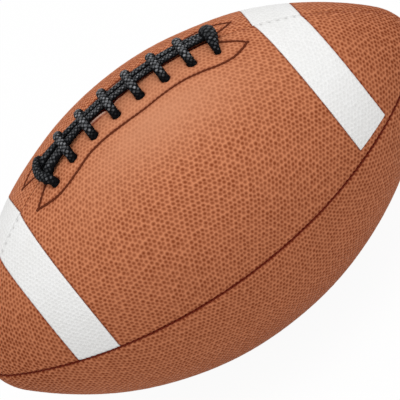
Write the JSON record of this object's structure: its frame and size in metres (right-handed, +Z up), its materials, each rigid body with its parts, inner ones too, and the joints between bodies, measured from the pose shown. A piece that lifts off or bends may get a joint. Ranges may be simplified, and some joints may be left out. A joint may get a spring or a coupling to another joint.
{
  "type": "american football",
  "caption": "Laced american football: pebbled brown cover of sewn panels with pale stripes, black braided lacing, linings, bladder and needle valve inside.",
  "frame": {"origin": "under the middle of the belly, on the surface that the ball lies on", "axes": "+X along the long axis, +Z up through the lacing, -Y towards the side that the picture shows"},
  "size_m": [0.273, 0.156, 0.1647],
  "materials": {
    "cover": "pebbled composite leather, semi-matt",
    "stripe": "finely pebbled, semi-matt",
    "lace": "tight round braid",
    "thread": "waxed thread",
    "lining": "layered woven cloth",
    "facing": "split leather",
    "bladder": "matt rubber",
    "valve": "moulded rubber"
  },
  "bodies": {
    "root": {"panel_top_front": "cover", "panel_top_rear": "cover", "panel_bottom_front": "cover", "panel_bottom_rear": "cover", "lining_top_front": "lining", "lining_top_rear": "lining", "lining_bottom_front": "lining", "lining_bottom_rear": "lining", "lace_facing_front": "facing", "lace_facing_rear": "facing", "lace_guard": "facing", "bladder": "bladder", "valve_body": "valve", "valve_core": "valve", "lace": "lace", "stripe_left_front": "stripe", "stripe_left_rear": "stripe", "stripe_right_front": "stripe", "stripe_right_rear": "stripe", "seam_thread_top": "thread", "seam_thread_front": "thread", "seam_thread_bottom": "thread", "seam_thread_rear": "thread", "facing_thread_front": "thread", "facing_thread_rear": "thread"}
  },
  "joints": []
}
